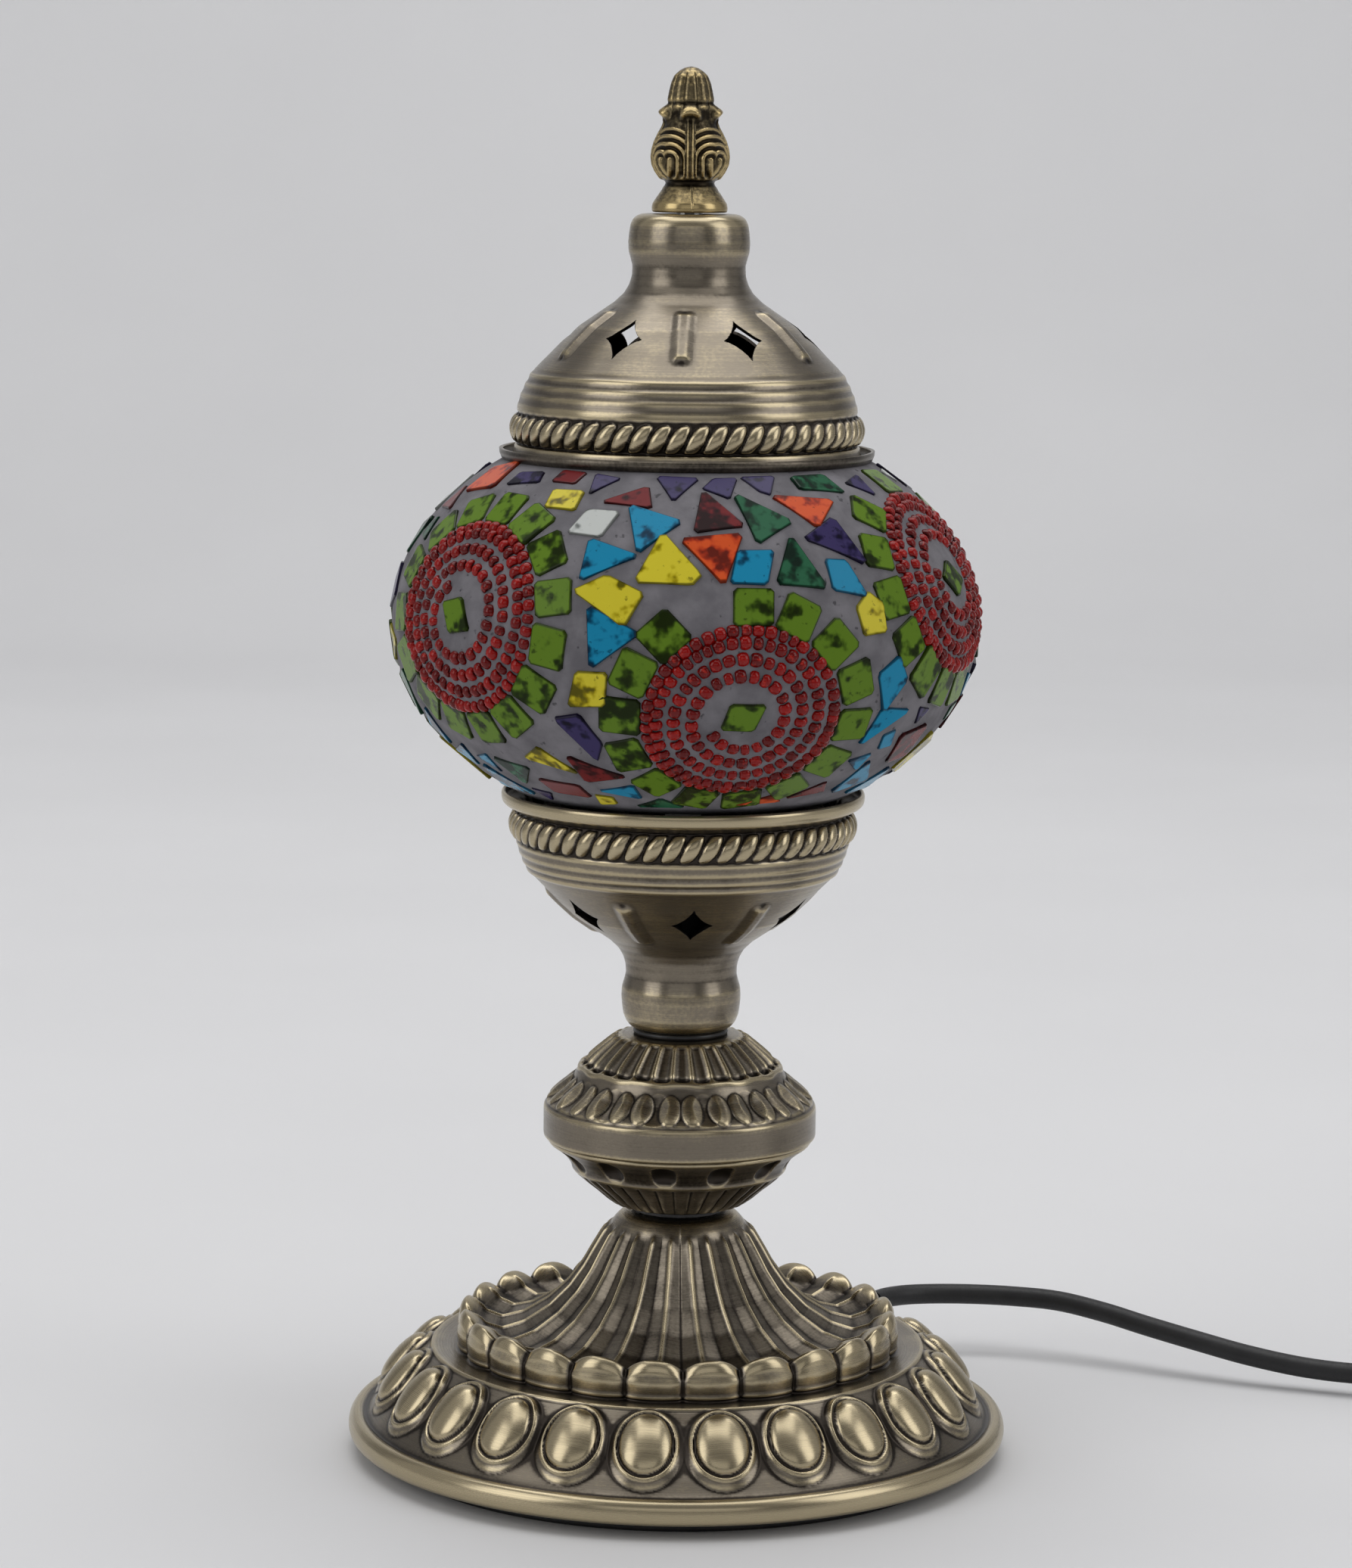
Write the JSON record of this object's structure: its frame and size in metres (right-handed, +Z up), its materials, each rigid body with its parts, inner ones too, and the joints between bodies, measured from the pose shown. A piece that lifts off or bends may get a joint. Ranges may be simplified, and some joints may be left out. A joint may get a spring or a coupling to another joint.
{
  "type": "mosaic glass table lamp",
  "caption": "Table lamp with a squat mosaic glass globe held between a pressed brass cup and a vented cap with a finial, on a fluted round brass base, with a mains cord, switch and plug.",
  "frame": {"origin": "bottom centre of the lamp, on the table under its axis", "axes": "+Z up along the lamp's axis, -Y towards the front that the picture shows, +X to the right of that view"},
  "size_m": [0.3801, 0.1678, 0.3194],
  "materials": {
    "antique_brass": "thin pressed brass, dark antique patina in the recesses and rubbed golden on the crests",
    "gold_brass": "cast brass, warmer and more golden, satin",
    "zinc_steel": "zinc-plated steel",
    "clear_glass": "clear blown glass",
    "grey_grout": "grey plaster grout, matt, holding cut glass pieces of many colours",
    "red_glass_beads": "translucent red glass seed beads, glossy",
    "olive_glass_tile": "mottled olive green glass, glossy",
    "black_rubber": "matt black flexible cable sheath and pad",
    "black_plastic": "satin black moulded plastic",
    "white_ceramic": "white steatite",
    "filament": "yellow coated LED filament"
  },
  "bodies": {
    "lamp_body": {"base_shell": "antique_brass", "base_pad": "black_rubber", "base_washer": "zinc_steel", "base_nut": "zinc_steel", "cord_strain_relief": "black_rubber", "inner_cable": "black_rubber", "threaded_rod": "zinc_steel", "base_spacer": "black_plastic", "knob_lower_shell": "antique_brass", "knob_upper_shell": "antique_brass", "cup_spacer": "black_plastic", "lower_cup": "antique_brass", "cup_washer": "zinc_steel", "cup_nut": "zinc_steel", "cup_clip_1": "zinc_steel", "cup_clip_2": "zinc_steel", "cup_clip_3": "zinc_steel", "socket_base": "black_plastic", "socket_insulator": "white_ceramic", "socket_contact": "gold_brass", "socket_screw_shell": "gold_brass", "socket_skirt": "black_plastic", "cord_run": "black_rubber", "cord_link": "black_rubber", "cord_coil": "black_rubber", "coil_tie": "black_plastic", "cord_tail": "black_rubber", "switch_lower": "black_plastic", "switch_upper": "black_plastic", "plug_body": "black_plastic", "plug_pin_1": "gold_brass", "plug_pin_2": "gold_brass"},
    "globe": {"globe_glass": "clear_glass", "mosaic_grout": "grey_grout", "bead_spiral_1": "red_glass_beads", "bead_spiral_2": "red_glass_beads", "bead_spiral_3": "red_glass_beads", "bead_spiral_4": "red_glass_beads", "bead_spiral_5": "red_glass_beads", "bead_spiral_6": "red_glass_beads", "centre_tile_1": "olive_glass_tile", "centre_tile_2": "olive_glass_tile", "centre_tile_3": "olive_glass_tile", "centre_tile_4": "olive_glass_tile", "centre_tile_5": "olive_glass_tile", "centre_tile_6": "olive_glass_tile"},
    "cap": {"top_cap": "antique_brass", "cap_clip_1": "zinc_steel", "cap_clip_2": "zinc_steel", "cap_clip_3": "zinc_steel", "cap_stud": "zinc_steel", "cap_nut": "zinc_steel"},
    "finial_washer": {"finial_washer": "zinc_steel"},
    "finial": {"finial": "gold_brass"},
    "bulb_contact": {"bulb_contact": "zinc_steel"},
    "bulb": {"bulb_glass": "clear_glass", "bulb_cap": "zinc_steel", "bulb_stem": "clear_glass", "bulb_filament": "filament"},
    "rocker": {"switch_rocker": "black_plastic"}
  },
  "joints": [
    {"name": "globe_lift", "type": "slide", "parent": "lamp_body", "child": "globe", "axis": [0, 0, 1], "range_m": [0, 0.08]},
    {"name": "cap_lift", "type": "slide", "parent": "globe", "child": "cap", "axis": [0, 0, 1], "range_m": [0, 0.06]},
    {"name": "finial_lift", "type": "slide", "parent": "cap", "child": "finial_washer", "axis": [0, 0, 1], "range_m": [0, 0.008]},
    {"name": "finial_turn", "type": "hinge", "parent": "finial_washer", "child": "finial", "pos_m": [0, 0, 0.288], "axis": [0, 0, 1], "range_deg": [0, 2900]},
    {"name": "bulb_lift", "type": "slide", "parent": "lamp_body", "child": "bulb_contact", "axis": [0, 0, 1], "range_m": [0, 0.017]},
    {"name": "bulb_turn", "type": "hinge", "parent": "bulb_contact", "child": "bulb", "pos_m": [0, 0, 0.15], "axis": [0, 0, 1], "range_deg": [0, 2160]},
    {"name": "rocker_tilt", "type": "hinge", "parent": "lamp_body", "child": "rocker", "pos_m": [0.21381, 0.03288, 0.014], "axis": [-0.2934, -0.956, 0], "range_deg": [0, 16]}
  ],
  "couplings": [
    {"joint": "finial_turn", "follows": "finial_lift", "rad_per_m": 6283.2},
    {"joint": "bulb_lift", "follows": "bulb_turn", "m_per_rad": 0.00044914}
  ]
}
